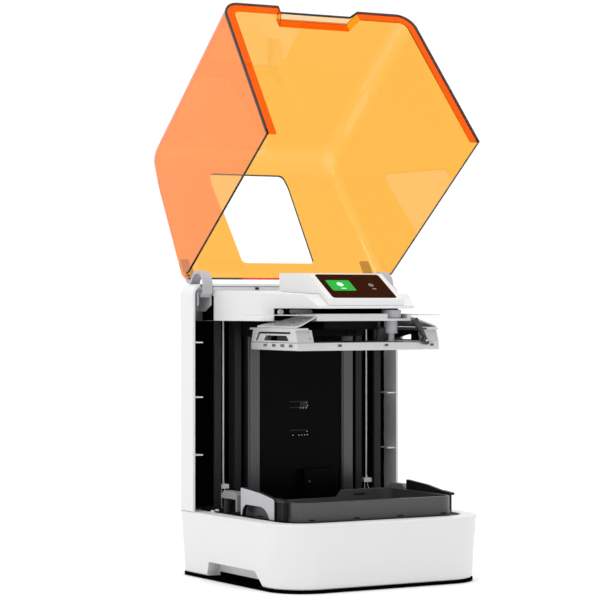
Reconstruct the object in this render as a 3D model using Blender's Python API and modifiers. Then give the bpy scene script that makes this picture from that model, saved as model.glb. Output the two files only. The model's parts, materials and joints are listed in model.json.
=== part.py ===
"""Desktop resin printer with a flip-back hood, modelled as separate parts.

Lengths below are millimetres and MM turns them into metres. X runs across the printer and is zero
at its middle, Y runs from the front of the base (0) to its back, and Z is the height above the table.
The hood is laid out as it lies when closed and then turned open about its hinge pins.
"""
import math

import bmesh
import bpy
from mathutils import Matrix, Vector

MM = 0.001
GAP = 0.3

# Base and tower
HALF_WIDTH = 157.5
HALF_WIDTH_FRONT = 153.8
DEPTH = 286.0
FRONT_RADIUS = 56.7
BACK_RADIUS = 24.8
BASE_TOP = 84.8
BASE_BOTTOM = 4.5
WALL = 3.0
RIM = 21.0
DECK_TOP = 82.5
TOWER_FRONT = 232.0
TOWER_TOP = 380.0
TOWER_EDGE = 14.0
GRIP_FRONT, GRIP_BACK = 68.0, 206.0
GRIP_HEIGHT = 23.0
GRIP_DEPTH = 24.0

# Lift column
RAIL_X = 71.5
RAIL_FRONT = 222.0
COLUMN_FRONT = 229.3
COLUMN_TOP = 356.0
SCREW_Y = 250.0
SCREW_RADIUS = 4.0
LIGHT_RADIUS = 1.1
LINER_FRONT = 261.6
PLATE_HALF_X = 105.1
PLATE_FRONT, PLATE_BACK = 53.0, 172.5
PLATE_BOTTOM = 295.5
PLATE_THICK = 10.0
BAR_HALF, BAR_LOW, BAR_HIGH = 70.0, 332.5, 341.5
PLATE_Y = (PLATE_FRONT + PLATE_BACK) / 2

# Head and console
HEAD_FRONT = 61.0
HEAD_HALF_FRONT = 72.0
HEAD_HALF_BACK = 126.5
HEAD_STEP = 133.0
HEAD_LOW, HEAD_HIGH = 332.0, 348.3
CONSOLE_HALF_FRONT, CONSOLE_HALF_BACK = 56.0, 53.0
CONSOLE_BACK = 190.0
SLOPE_LOW, SLOPE_HIGH = (60.8, 360.3), (112.5, 393.2)
SCREEN_SIZE = (95.4, 55.8, 1.4)

# Hood, in its closed position
HOOD_BACK_Y = 231.5
HOOD_BOTTOM = 85.3
HOOD_LENGTH = 227.2
HOOD_HALF_BACK, HOOD_HALF_FRONT = 158.0, 143.9
HOOD_HEIGHT = 293.0
HOOD_FALL = math.tan(math.radians(3.0))
HOOD_LEAN = math.tan(math.radians(2.0))
HOOD_CORNER = 25.0
HOOD_SIDE_EDGE, HOOD_FRONT_EDGE = 12.0, 35.0
HOOD_LIP = 14.0
HOOD_WALL = 3.0
HOOD_FLANGE = 14.0
NOTCH_DEPTH, FLANGE_LIFT = 9.5, 21.0
HOOD_OPEN_DEG = 128.8
PIVOT_Y, PIVOT_Z = 249.3, 370.6
ARM_X = 139.0
ARM_WIDTH = 13.0
ARCH_Y, ARCH_Z, ARCH_RADIUS = 244.5, 378.0, 17.5

# Other turning pieces
LATCH_X, LATCH_Y = 127.0, 195.0
LEVER_X, LEVER_Y, LEVER_Z = 82.0, 50.0, 307.5
KNOB_X, KNOB_Y = 50.0, 81.0
FAN_Y, FAN_Z = 272.0, 180.0
SWITCH_X, SWITCH_Y, SWITCH_Z = -66.0, 279.0, 37.0

# Middle of the whole printer, hood open, from front to back
Y_MIDDLE = 190.5

MATERIALS = {
    "white_shell": ((0.86, 0.86, 0.87), 0.35, 0.0),
    "dark_plastic": ((0.03, 0.03, 0.032), 0.45, 0.0),
    "gloss_black": ((0.01, 0.01, 0.01), 0.12, 0.0),
    "grey_metal": ((0.33, 0.33, 0.35), 0.35, 0.9),
    "black_metal": ((0.02, 0.02, 0.021), 0.4, 0.6),
    "aluminium": ((0.75, 0.76, 0.78), 0.3, 0.95),
    "amber": ((0.95, 0.42, 0.03), 0.05, 0.0),
    "vat_grey": ((0.09, 0.09, 0.095), 0.4, 0.0),
    "light_grey": ((0.6, 0.6, 0.62), 0.45, 0.0),
    "rubber": ((0.05, 0.05, 0.05), 0.8, 0.0),
    "green_board": ((0.02, 0.16, 0.06), 0.5, 0.0),
    "clear": ((0.8, 0.85, 0.9), 0.05, 0.0),
    "steel": ((0.7, 0.7, 0.72), 0.25, 1.0),
}


# ---------------------------------------------------------------- scene and bodies

def clear_scene():
    for old in list(bpy.data.objects):
        bpy.data.objects.remove(old, do_unlink=True)


def make_collection(name):
    collection = bpy.data.collections.new(name)
    bpy.context.scene.collection.children.link(collection)
    return collection


def make_material(name):
    color, roughness, metallic = MATERIALS[name]
    material = bpy.data.materials.new(name)
    material.use_nodes = True
    shader = material.node_tree.nodes["Principled BSDF"]
    shader.inputs["Base Color"].default_value = (*color, 1.0)
    shader.inputs["Roughness"].default_value = roughness
    shader.inputs["Metallic"].default_value = metallic
    return material


class Body:
    """A rigid group whose parts have their origins on the joint's axis.

    A group of several parts hangs from an empty; a single part hangs from its parent's empty.
    """

    def __init__(self, pivot=(0.0, 0.0, 0.0), parent=None, turn_x=0.0, empty_name=None):
        self.pivot = Vector(pivot)
        self.offset = (self.pivot - parent.pivot) * MM if parent else Vector()
        self.empty = parent.empty if parent else None
        if empty_name:
            self.empty = bpy.data.objects.new(empty_name, None)
            self.empty.empty_display_size = 0.02
            scene_parts.objects.link(self.empty)
            self.empty.parent = parent.empty if parent else None
            self.empty.location = self.offset
            self.empty.rotation_euler.x = math.radians(turn_x)
            self.offset = Vector()

    def adopt(self, bm, name, collection):
        bmesh.ops.translate(bm, vec=-self.pivot, verts=bm.verts)
        bmesh.ops.scale(bm, vec=(MM, MM, MM), verts=bm.verts)
        mesh = bpy.data.meshes.new(name)
        bm.to_mesh(mesh)
        bm.free()
        obj = bpy.data.objects.new(name, mesh)
        obj.parent = self.empty
        obj.location = self.offset
        collection.objects.link(obj)
        return obj


def part(name, bm, body, material, bevel=0.0, smooth=False):
    """Turn a bmesh into a named part on a body."""
    obj = body.adopt(bm, name, scene_parts)
    obj.data.materials.append(materials[material])
    if smooth:
        obj.data.shade_smooth()
        obj.data.set_sharp_from_angle(angle=math.radians(35))
    if bevel:
        round_edges(obj, bevel)
    return obj


def round_edges(obj, width, segments=2):
    modifier = obj.modifiers.new("round", "BEVEL")
    modifier.width = width * MM
    modifier.segments = segments
    modifier.limit_method = "ANGLE"
    modifier.angle_limit = math.radians(40)


def combine(obj, bm, body, operation="DIFFERENCE"):
    """Cut, join or intersect a part with another closed shape."""
    tool = body.adopt(bm, obj.name + "_tool", cutters)
    tool.hide_render = True
    tool.display_type = "WIRE"
    modifier = obj.modifiers.new(operation.lower(), "BOOLEAN")
    modifier.operation = operation
    modifier.object = tool
    modifier.solver = "EXACT"
    return tool


def solidify(obj, thickness, offset=-1.0):
    modifier = obj.modifiers.new("wall", "SOLIDIFY")
    modifier.thickness = thickness * MM
    modifier.offset = offset
    modifier.use_even_offset = True


# ---------------------------------------------------------------- shapes

def box(low, high):
    bm = bmesh.new()
    bmesh.ops.create_cube(bm, size=1.0)
    low, high = Vector(low), Vector(high)
    bmesh.ops.scale(bm, vec=high - low, verts=bm.verts)
    bmesh.ops.translate(bm, vec=(low + high) / 2, verts=bm.verts)
    return bm


def side_box(side, x_in, x_out, y_low, y_high, z_low, z_high):
    """A box on the left (side -1) or the right (side 1), with x measured from the middle."""
    xs = sorted((side * x_in, side * x_out))
    return box((xs[0], y_low, z_low), (xs[1], y_high, z_high))


def cylinder(start, end, radius, sides=24, end_radius=None):
    bm = bmesh.new()
    start, end = Vector(start), Vector(end)
    top_radius = radius if end_radius is None else end_radius
    bmesh.ops.create_cone(bm, cap_ends=True, segments=sides, radius1=radius, radius2=top_radius,
                          depth=(end - start).length)
    turn = Vector((0, 0, 1)).rotation_difference(end - start).to_matrix().to_4x4()
    bmesh.ops.transform(bm, matrix=Matrix.Translation((start + end) / 2) @ turn, verts=bm.verts)
    return bm


def face_out(bm):
    """Make a closed shape's faces point outwards."""
    bmesh.ops.recalc_face_normals(bm, faces=bm.faces)
    if bm.calc_volume(signed=True) < 0:
        bmesh.ops.reverse_faces(bm, faces=bm.faces)


def prism(outline, axis, low, high):
    """Extrude a flat outline along an axis; X takes (y, z) points, Y takes (x, z) and Z takes (x, y)."""
    curve = bpy.data.curves.new("outline", "CURVE")
    curve.dimensions = "2D"
    curve.fill_mode = "BOTH"
    curve.extrude = (high - low) / 2
    spline = curve.splines.new("POLY")
    spline.points.add(len(outline) - 1)
    for point, (across, up) in zip(spline.points, outline):
        point.co = (across, up, 0.0, 1.0)
    spline.use_cyclic_u = True
    holder = bpy.data.objects.new("outline", curve)
    scene_parts.objects.link(holder)
    graph = bpy.context.evaluated_depsgraph_get()
    mesh = bpy.data.meshes.new_from_object(holder.evaluated_get(graph))
    bpy.data.objects.remove(holder)
    bm = bmesh.new()
    bm.from_mesh(mesh)
    bmesh.ops.remove_doubles(bm, verts=bm.verts, dist=1e-4)
    bmesh.ops.dissolve_limit(bm, angle_limit=0.01, verts=bm.verts, edges=bm.edges)
    middle = (low + high) / 2
    for vert in bm.verts:
        across, up, along = vert.co
        along += middle
        vert.co = {"X": (along, across, up), "Y": (across, along, up), "Z": (across, up, along)}[axis]
    face_out(bm)
    return bm


def loft(loops, closed=True, caps=True):
    """Skin equal loops of points; open loops give an open sheet."""
    bm = bmesh.new()
    rows = [[bm.verts.new(point) for point in loop] for loop in loops]
    count = len(loops[0])
    last = count if closed else count - 1
    for lower, upper in zip(rows, rows[1:]):
        for i in range(last):
            j = (i + 1) % count
            bm.faces.new((lower[i], lower[j], upper[j], upper[i]))
    if caps:
        bm.faces.new(rows[0])
        bm.faces.new(rows[-1])
    face_out(bm)
    return bm


def arc(cx, cy, radius, start_deg, end_deg, steps):
    """Points on an arc, both ends included."""
    points = []
    for i in range(steps + 1):
        angle = math.radians(start_deg + (end_deg - start_deg) * i / steps)
        points.append((cx + radius * math.cos(angle), cy + radius * math.sin(angle)))
    return points


def round_rect(half_x, y_low, y_high, radius, steps=6):
    """A rounded rectangle in plan, centred on X zero."""
    inner = half_x - radius
    return (arc(-inner, y_low + radius, radius, 270, 180, steps)
            + arc(-inner, y_high - radius, radius, 180, 90, steps)
            + arc(inner, y_high - radius, radius, 90, 0, steps)
            + arc(inner, y_low + radius, radius, 0, -90, steps))


def lift(points, z):
    return [(x, y, z) for x, y in points]


def plan(inset):
    """The printer's outline from above, moved in by inset."""
    front, back = FRONT_RADIUS - inset, BACK_RADIUS - inset
    front_x, back_x = HALF_WIDTH_FRONT - FRONT_RADIUS, HALF_WIDTH - BACK_RADIUS
    front_radius, back_radius = max(front, 4.0), max(back, 4.0)
    front_x += front - front_radius
    back_x += back - back_radius
    front_y = inset + front_radius
    back_y = DEPTH - inset - back_radius
    return (arc(-front_x, front_y, front_radius, 270, 180, 9)
            + arc(-back_x, back_y, back_radius, 180, 90, 6)
            + arc(back_x, back_y, back_radius, 90, 0, 6)
            + arc(front_x, front_y, front_radius, 0, -90, 9))


def plan_slab(inset, z_low, z_high):
    return loft([lift(plan(inset), z_low), lift(plan(inset), z_high)])


# ---------------------------------------------------------------- base

def grip_outline(margin):
    """The hand hold in the side, seen from the side."""
    slope = 16.0
    front, back, top = GRIP_FRONT - margin, GRIP_BACK + margin, GRIP_HEIGHT + margin
    return [(front, -4.0), (front, 7.0), (front + slope, top), (back - 5, top), (back, 8.0), (back, -4.0)]


def make_base():
    foot_of_wall = [(7.6, BASE_BOTTOM), (6.2, 6.5), (1.2, 79.0)]
    profile = foot_of_wall + [(0.2, 82.2), (0.5, 84.0), (1.8, BASE_TOP), (RIM, BASE_TOP)]
    shell = loft([lift(plan(inset), z) for inset, z in profile], caps=False)
    shell = part("base_shell", shell, chassis, "white_shell", smooth=True)
    solidify(shell, WALL)
    for side in (-1, 1):
        low, high = sorted((side * HALF_WIDTH, side * (HALF_WIDTH - GRIP_DEPTH - WALL)))
        liner = combine(shell, prism(grip_outline(WALL), "X", low, high), chassis, "UNION")
        inside = [lift(plan(inset + WALL / 2), z) for inset, z in foot_of_wall]
        combine(liner, loft(inside), chassis, "INTERSECT")
        low, high = sorted((side * (HALF_WIDTH + 5), side * (HALF_WIDTH - GRIP_DEPTH)))
        combine(shell, prism(grip_outline(0.0), "X", low, high), chassis)
    combine(shell, box((-118.3, 270, 21.7), (-51.7, 292, 52.3)), chassis)

    pan = part("bottom_pan", plan_slab(12.0, 3.2, 6.0), chassis, "dark_plastic")
    for side in (-1, 1):
        low, high = sorted((side * HALF_WIDTH, side * (HALF_WIDTH - GRIP_DEPTH - WALL - 0.5)))
        combine(pan, box((low, GRIP_FRONT - 5, 0), (high, GRIP_BACK + 5, 12)), chassis)
    for end, x, y in (("front", 112, 36), ("rear", 124, 254)):
        for side, name in ((-1, "left"), (1, "right")):
            foot = cylinder((side * x, y, 0), (side * x, y, 2.9), 10, 28, 11)
            part(f"foot_{end}_{name}", foot, chassis, "rubber", smooth=True)


def make_deck():
    deck = part("base_deck", plan_slab(RIM + GAP, DECK_TOP - 2, DECK_TOP), chassis, "dark_plastic")
    combine(deck, box((-107, PLATE_Y - 60.5, 70), (107, PLATE_Y + 60.5, 90)), chassis)
    combine(deck, cylinder((0, SCREW_Y, 70), (0, SCREW_Y, 90), 10.0), chassis)
    for side in (-1, 1):
        post = cylinder((side * LATCH_X, LATCH_Y, DECK_TOP - 1), (side * LATCH_X, LATCH_Y, 104.0), 5.0, 20)
        combine(deck, post, chassis, "UNION")
    panel = box((-105.8, PLATE_Y - 59.2, 80.9), (105.8, PLATE_Y + 59.2, 83.4))
    part("lcd_panel", panel, chassis, "gloss_black")
    top = round_rect(104.0, PLATE_Y - 57.5, PLATE_Y + 57.5, 4.0, 2)
    bottom = round_rect(46.0, PLATE_Y - 31, PLATE_Y + 31, 4.0, 2)
    funnel = loft([lift(top, 80.3), lift(bottom, 23.2)], caps=False)
    funnel = part("light_box", funnel, chassis, "grey_metal")
    solidify(funnel, 1.5, 1.0)
    lens = round_rect(75.0, PLATE_Y - 44, PLATE_Y + 44, 6.0, 3)
    part("fresnel_lens", loft([lift(lens, 58.0), lift(lens, 60.0)]), chassis, "clear")
    part("led_board", box((-52, PLATE_Y - 38, 19.6), (52, PLATE_Y + 38, 21.6)), chassis, "green_board")
    sink = part("heat_sink", box((-50, PLATE_Y - 36, 16.3), (50, PLATE_Y + 36, 19.3)), chassis, "aluminium")
    for i in range(9):
        x = -48 + 12 * i
        combine(sink, box((x - 1, PLATE_Y - 36, 7.0), (x + 1, PLATE_Y + 36, 17.0)), chassis, "UNION")
    part("main_board", box((34, 182, 12), (126, 224, 13.6)), chassis, "green_board")
    part("power_supply", box((-127, 176, 9), (-35, 226, 44)), chassis, "aluminium", 1.0)


def make_rear_sockets():
    inlet = part("power_inlet", box((-118, 272, 22), (-52, 283.2, 52)), chassis, "dark_plastic")
    combine(inlet, box((-112, 275.0, 27), (-86, 290, 47)), chassis)
    combine(inlet, box((SWITCH_X - 7.5, 268, 25.6), (SWITCH_X + 7.5, 290, 48.8)), chassis)
    rocker = [(SWITCH_Y - 2, 27.5), (284.2, 27.0), (283.0, 37.0), (285.6, 47.0), (SWITCH_Y - 2, 46.5)]
    part("power_switch", prism(rocker, "X", SWITCH_X - 7, SWITCH_X + 7), switch, "gloss_black")


# ---------------------------------------------------------------- tower

def tower_path(inset):
    """The tower's sides and back from above, open to the front."""
    radius = BACK_RADIUS - inset
    x = HALF_WIDTH - BACK_RADIUS
    y = DEPTH - BACK_RADIUS
    points = [(-(HALF_WIDTH - inset), TOWER_FRONT)]
    points += arc(-x, y, radius, 180, 90, 6) + arc(x, y, radius, 90, 0, 6)
    return points + [(HALF_WIDTH - inset, TOWER_FRONT)]


def make_tower():
    loops = [lift(tower_path(0.0), BASE_TOP + GAP)]
    for i in range(6):
        angle = math.radians(90 * i / 5)
        inset = TOWER_EDGE * (1 - math.cos(angle))
        loops.append(lift(tower_path(inset), TOWER_TOP - TOWER_EDGE * (1 - math.sin(angle))))
    sheet = loft(loops, closed=False, caps=False)
    sheet.verts.ensure_lookup_table()
    count = len(loops[0])
    sheet.faces.new(list(sheet.verts)[-count:])
    bmesh.ops.recalc_face_normals(sheet, faces=sheet.faces)
    if sum(face.normal.z for face in sheet.faces) < 0:
        bmesh.ops.reverse_faces(sheet, faces=sheet.faces)
    shell = part("tower_shell", sheet, chassis, "white_shell", smooth=True)
    solidify(shell, WALL)
    for side in (-1, 1):
        slot = side_box(side, ARM_X - 8, ARM_X + 8, 225, 268.5, 360, 390)
        combine(shell, slot, chassis)
        for z in (158.0, 233.0, 304.0):
            combine(shell, side_box(side, 142, 156, 234, 261, z - 0.8, z + 0.8), chassis, "UNION")
    for i in range(6):
        z = 155.0 + 10 * i
        combine(shell, box((-26, 278, z - 2), (26, 292, z + 2)), chassis)


def make_column():
    """The dark frame that carries the rails, with its slots for the lift yoke."""
    frame = part("column_frame", box((-128, COLUMN_FRONT, 82.8), (128, 262, 87.7)), chassis, "dark_plastic")
    combine(frame, box((-122.2, COLUMN_FRONT, 348), (122.2, 260, COLUMN_TOP)), chassis, "UNION")
    combine(frame, box((-153.6, LINER_FRONT, 85.8), (153.6, LINER_FRONT + 2, 331.4)), chassis, "UNION")
    for side in (-1, 1):
        for x_in, x_out, back in ((62, 79.5, 240), (88, 97.5, 246), (117.5, 122.2, 234)):
            combine(frame, side_box(side, x_in, x_out, COLUMN_FRONT, back, 84, 352), chassis, "UNION")
        combine(frame, side_box(side, 118, 127.7, COLUMN_FRONT, 231.6, 84, 331.4), chassis, "UNION")
    combine(frame, cylinder((0, SCREW_Y, 60), (0, SCREW_Y, 100), 10.0), chassis)
    combine(frame, cylinder((0, SCREW_Y, 330), (0, SCREW_Y, 352), SCREW_RADIUS + GAP), chassis)
    combine(frame, cylinder((0, LINER_FRONT - 3, FAN_Z), (0, LINER_FRONT + 5, FAN_Z), 28.0, 32), chassis)
    part("back_panel", box((-61.5, 226, 83), (61.5, 229, 347)), chassis, "gloss_black", 0.8)
    for side, name in ((-1, "left"), (1, "right")):
        rail = [(-7.3, 0), (7.3, 0), (7.3, 2), (5.2, 3.5), (7.3, 5), (7.3, 7)]
        rail += [(-7.3, 7), (-7.3, 5), (-5.2, 3.5), (-7.3, 2)]
        outline = [(side * RAIL_X + x, RAIL_FRONT + y) for x, y in rail]
        part("rail_" + name, prism(outline, "Z", 88.0, 346.0), chassis, "grey_metal")
        bar_x = side * 110.0
        bar = cylinder((bar_x, 238, 115), (bar_x, 238, 345), LIGHT_RADIUS, 10)
        bar = part("light_bar_" + name, bar, chassis, "light_grey", smooth=True)
        combine(bar, box((bar_x - 6, 233, 113), (bar_x + 6, 243, 118.7)), chassis, "UNION")
    part("drip_box", box((-0.5, 213.8, 83), (49.2, 225.6, 135)), chassis, "dark_plastic", 1.0)


def make_drive():
    motor = part("z_motor", box((-21, 229, 38), (21, 271, 79.8)), chassis, "dark_plastic", 2.0)
    combine(motor, cylinder((0, SCREW_Y, 78), (0, SCREW_Y, 92), 2.5, 16), chassis, "UNION")
    coupler = cylinder((0, SCREW_Y, 84.5), (0, SCREW_Y, 108), 9.0)
    coupler = part("screw_coupler", coupler, screw, "aluminium", smooth=True)
    combine(coupler, cylinder((0, SCREW_Y, 80), (0, SCREW_Y, 93), 2.8, 16), screw)
    combine(coupler, cylinder((0, SCREW_Y, 97), (0, SCREW_Y, 110), SCREW_RADIUS + GAP), screw)
    rod = cylinder((0, SCREW_Y, 98), (0, SCREW_Y, 350), SCREW_RADIUS, 16)
    part("lead_screw", rod, screw, "steel", smooth=True)
    bearing = cylinder((0, SCREW_Y, 340), (0, SCREW_Y, 347.7), 11.0)
    bearing = part("screw_bearing", bearing, chassis, "steel", smooth=True)
    combine(bearing, cylinder((0, SCREW_Y, 335), (0, SCREW_Y, 352), SCREW_RADIUS + GAP), chassis)
    housing = box((-30, FAN_Y - 7.5, FAN_Z - 30), (30, FAN_Y + 7.5, FAN_Z + 30))
    housing = part("fan_housing", housing, chassis, "dark_plastic")
    combine(housing, cylinder((0, FAN_Y - 20, FAN_Z), (0, FAN_Y + 20, FAN_Z), 28.0, 32), chassis)
    for turn in (0, 90):
        along = Matrix.Rotation(math.radians(turn + 45), 4, "Y")
        strut = box((-33, 4.5, -2), (33, 7.0, 2))
        bmesh.ops.transform(strut, matrix=Matrix.Translation((0, FAN_Y, FAN_Z)) @ along, verts=strut.verts)
        combine(housing, strut, chassis, "UNION")
    combine(housing, cylinder((0, FAN_Y + 4.4, FAN_Z), (0, FAN_Y + 7.1, FAN_Z), 11.0), chassis, "UNION")
    blades = []
    for i in range(7):
        start = 360 * i / 7
        blades += arc(0, FAN_Z, 26.5, start, start + 30, 3) + arc(0, FAN_Z, 10.5, start + 36, start + 46, 1)
    part("fan_rotor", prism(blades, "Y", FAN_Y - 6.5, FAN_Y + 3.5), rotor, "dark_plastic")


def make_hinge_brackets():
    for side, name in ((-1, "left"), (1, "right")):
        cheek = [(236, 352), (252, 344), (273, 344), (273, 366), (264, 374.2), (242, 374.2), (236, 369)]
        near, far = sorted((side * (ARM_X + 8), side * (ARM_X + 10.5)))
        bracket = part("hinge_bracket_" + name, prism(cheek, "X", near, far), chassis, "light_grey")
        near, far = sorted((side * (ARM_X - 10.8), side * (ARM_X - 8)))
        combine(bracket, prism(cheek, "X", near, far), chassis, "UNION")
        back = side_box(side, ARM_X - 10.8, ARM_X + 10.5, 270, 273, 344, 366)
        combine(bracket, back, chassis, "UNION")
        ends = [(side * (ARM_X + offset), PIVOT_Y, PIVOT_Z) for offset in (-9, 10)]
        combine(bracket, cylinder(*ends, 2.5, 20), chassis, "UNION")


# ---------------------------------------------------------------- head

def head_top(y):
    """Height of the head's upper face."""
    return 366.3 + (371.2 - 366.3) * (y - 84) / (TOWER_FRONT - 84)


def make_head():
    side = [(HEAD_FRONT, HEAD_HIGH), (HEAD_FRONT, 352.0), (84, head_top(84)), (234, head_top(234)),
            (234, 376.4), (264, 376.4), (264, HEAD_LOW), (HEAD_STEP, HEAD_LOW), (HEAD_STEP, HEAD_HIGH)]
    head = part("head_shell", prism(side, "X", -130, 130), chassis, "white_shell")
    above = [(-HEAD_HALF_FRONT, 40), (-HEAD_HALF_FRONT, 62), (-HEAD_HALF_FRONT - 1, 66),
             (-HEAD_HALF_BACK, TOWER_FRONT), (-HEAD_HALF_BACK, 280)]
    above += [(-x, y) for x, y in reversed(above)]
    combine(head, prism(above, "Z", 300, 400), chassis, "INTERSECT")
    round_edges(head, 2.0)
    inside = [(-92, 137), (-HEAD_HALF_BACK + WALL, TOWER_FRONT), (-HEAD_HALF_BACK + WALL, 261)]
    inside += [(-x, y) for x, y in reversed(inside)]
    combine(head, prism(inside, "Z", 320, 366), chassis)
    cover = [(-91.3, 137.6), (-117.6, 220), (117.6, 220), (91.3, 137.6)]
    part("head_plate", prism(cover, "Z", 332.4, 334.0), chassis, "white_shell")

    profile = [(60.8, 352.5), SLOPE_LOW, SLOPE_HIGH, (CONSOLE_BACK, 394.0),
               (CONSOLE_BACK, head_top(190) + GAP), (84, head_top(84) + GAP + 0.1)]
    console = part("console", prism(profile, "X", -60, 60), chassis, "white_shell")
    above = [(-CONSOLE_HALF_FRONT, 40), (-CONSOLE_HALF_FRONT, 61), (-CONSOLE_HALF_BACK, CONSOLE_BACK),
             (-CONSOLE_HALF_BACK, 200)]
    above += [(-x, y) for x, y in reversed(above)]
    combine(console, prism(above, "Z", 340, 400), chassis, "INTERSECT")
    round_edges(console, 2.5)
    run, rise = SLOPE_HIGH[0] - SLOPE_LOW[0], SLOPE_HIGH[1] - SLOPE_LOW[1]
    half = Vector((0, run / 2, rise / 2))
    middle = Vector((0, *SLOPE_LOW)) + half
    tilt = Matrix.Translation(middle) @ Matrix.Rotation(math.atan2(rise, run), 4, "X")
    width, height, thick = SCREEN_SIZE
    for margin, bottom, top in ((GAP, -thick - GAP, 4.0), (0.0, -thick, 0.0)):
        points = round_rect(width / 2 + margin, -height / 2 - margin, height / 2 + margin, 4.0, 4)
        slab = loft([lift(points, bottom), lift(points, top)])
        bmesh.ops.transform(slab, matrix=tilt, verts=slab.verts)
        if margin:
            combine(console, slab, chassis)
        else:
            part("touch_screen", slab, chassis, "gloss_black")


# ---------------------------------------------------------------- hood

def hood_top(u):
    """Height of the hood's roof at distance u in front of its back edge."""
    drop = 0.0
    if u < HOOD_LIP:
        drop = HOOD_LIP - math.sqrt(HOOD_LIP ** 2 - (HOOD_LIP - u) ** 2)
    return HOOD_HEIGHT - HOOD_FALL * u - drop


def hood_half(u):
    return HOOD_HALF_BACK + (HOOD_HALF_FRONT - HOOD_HALF_BACK) * u / HOOD_LENGTH


def hood_paths(inset_side, inset_front, radius):
    """Half of the hood's outline, from the back edge to the middle of the front, as (x, u) points."""
    front = HOOD_LENGTH - inset_front
    corner_u = front - radius
    side = [(hood_half(u) - inset_side, u) for u in (0, 1.5, 4, 8, 14, 60, 130)]
    centre_x = hood_half(corner_u) - inset_side - radius
    corner = [(x, u) for x, u in arc(centre_x, corner_u, radius, 2, 90, 7)]
    return side + corner + [(60.0, front), (53.0, front), (10.0, front)]


def notch_lift(x):
    """Height of the flange over the finger notch in the hood's front rim."""
    return FLANGE_LIFT * min(1.0, max(0.0, (60.0 - x) / 7.0))


def make_hood():
    """A sheet from the inner rim, out, up the walls and over the roof, then thickened."""
    outer = hood_paths(0.0, 0.0, HOOD_CORNER)
    inner = hood_paths(HOOD_SIDE_EDGE, HOOD_FRONT_EDGE, 12.0)
    flange = hood_paths(HOOD_FLANGE, HOOD_FLANGE, HOOD_CORNER - HOOD_FLANGE)
    rows = []
    for path in (flange, outer):
        rows.append([(x, u, notch_lift(x) if u > 200 else 0.0) for x, u in path])
    steps = 7
    for i in range(steps + 1):
        angle = math.radians(90 * i / steps)
        row = []
        for (x0, u0), (x1, u1) in zip(outer, inner):
            blend = 1 - math.cos(angle)
            edge = max(HOOD_SIDE_EDGE, (u0 - u1))
            x = x0 + (x1 - x0) * blend
            u = u0 + (u1 - u0) * blend
            row.append((x, u, hood_top(u1) - edge * (1 - math.sin(angle))))
        rows.append(row)
    front_edge = HOOD_LENGTH - HOOD_FRONT_EDGE
    grid = []
    for row in rows:
        half = []
        for x, u, w in row:
            lean = HOOD_LEAN * w * min(1.0, u / front_edge)
            half.append((x, HOOD_BACK_Y - u + lean, HOOD_BOTTOM + w))
        grid.append([(-x, y, z) for x, y, z in half] + half[::-1])
    sheet = loft(grid, closed=False, caps=False)
    sheet.verts.ensure_lookup_table()
    count = len(grid[0])
    top_row = list(sheet.verts)[-count:]
    last = count // 2 - 5
    for i in range(last):
        sheet.faces.new((top_row[i], top_row[i + 1], top_row[count - 2 - i], top_row[count - 1 - i]))
    sheet.faces.new(top_row[last:count - last])
    bmesh.ops.recalc_face_normals(sheet, faces=sheet.faces)
    roof = [face for face in sheet.faces if face.calc_center_median().z > 300]
    if sum(face.normal.z * face.calc_area() for face in roof) < 0:
        bmesh.ops.reverse_faces(sheet, faces=sheet.faces)
    shell = part("lid_shell", sheet, hood, "amber", smooth=True)
    solidify(shell, HOOD_WALL)
    hole = [(55.5, HOOD_BACK_Y - 33), (59.5, HOOD_BACK_Y - 166), (56.5, HOOD_BACK_Y - 185)]
    hole = [(-x, y) for x, y in hole] + hole[::-1]
    combine(shell, prism(hole, "Z", 340, 400), hood)
    lip = [[(x, HOOD_BACK_Y - u + HOOD_LEAN * w, HOOD_BOTTOM + w)
            for x, w in ((-60, 0), (60, 0), (53, FLANGE_LIFT + 1), (-53, FLANGE_LIFT + 1))]
           for u in (HOOD_LENGTH - 0.05, HOOD_LENGTH - HOOD_WALL + 0.05)]
    combine(shell, loft(lip), hood, "UNION")
    notch = [(-60.7, -1), (60.7, -1), (53, NOTCH_DEPTH), (-53, NOTCH_DEPTH)]
    combine(shell, prism([(x, HOOD_BOTTOM + w) for x, w in notch], "Y", 2, 9.5), hood)
    combine(shell, box((-150.2, HOOD_BACK_Y - 6, 350), (150.2, 240, 379.5)), hood)


def band(line, thickness):
    """The outline of a strip of even thickness along a line of points."""
    left, right = [], []
    for i, point in enumerate(line):
        before, after = line[max(i - 1, 0)], line[min(i + 1, len(line) - 1)]
        across = Vector((before[1] - after[1], after[0] - before[0])).normalized() * thickness / 2
        left.append((point[0] + across.x, point[1] + across.y))
        right.append((point[0] - across.x, point[1] - across.y))
    return left + right[::-1]


def closed_place(y, z):
    """Where a point of the open hood lies when the hood is closed."""
    angle = math.radians(HOOD_OPEN_DEG)
    sine, cosine = math.sin(angle), math.cos(angle)
    dy, dz = y - PIVOT_Y, z - PIVOT_Z
    return (PIVOT_Y + dy * cosine - dz * sine, PIVOT_Z + dy * sine + dz * cosine)


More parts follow.
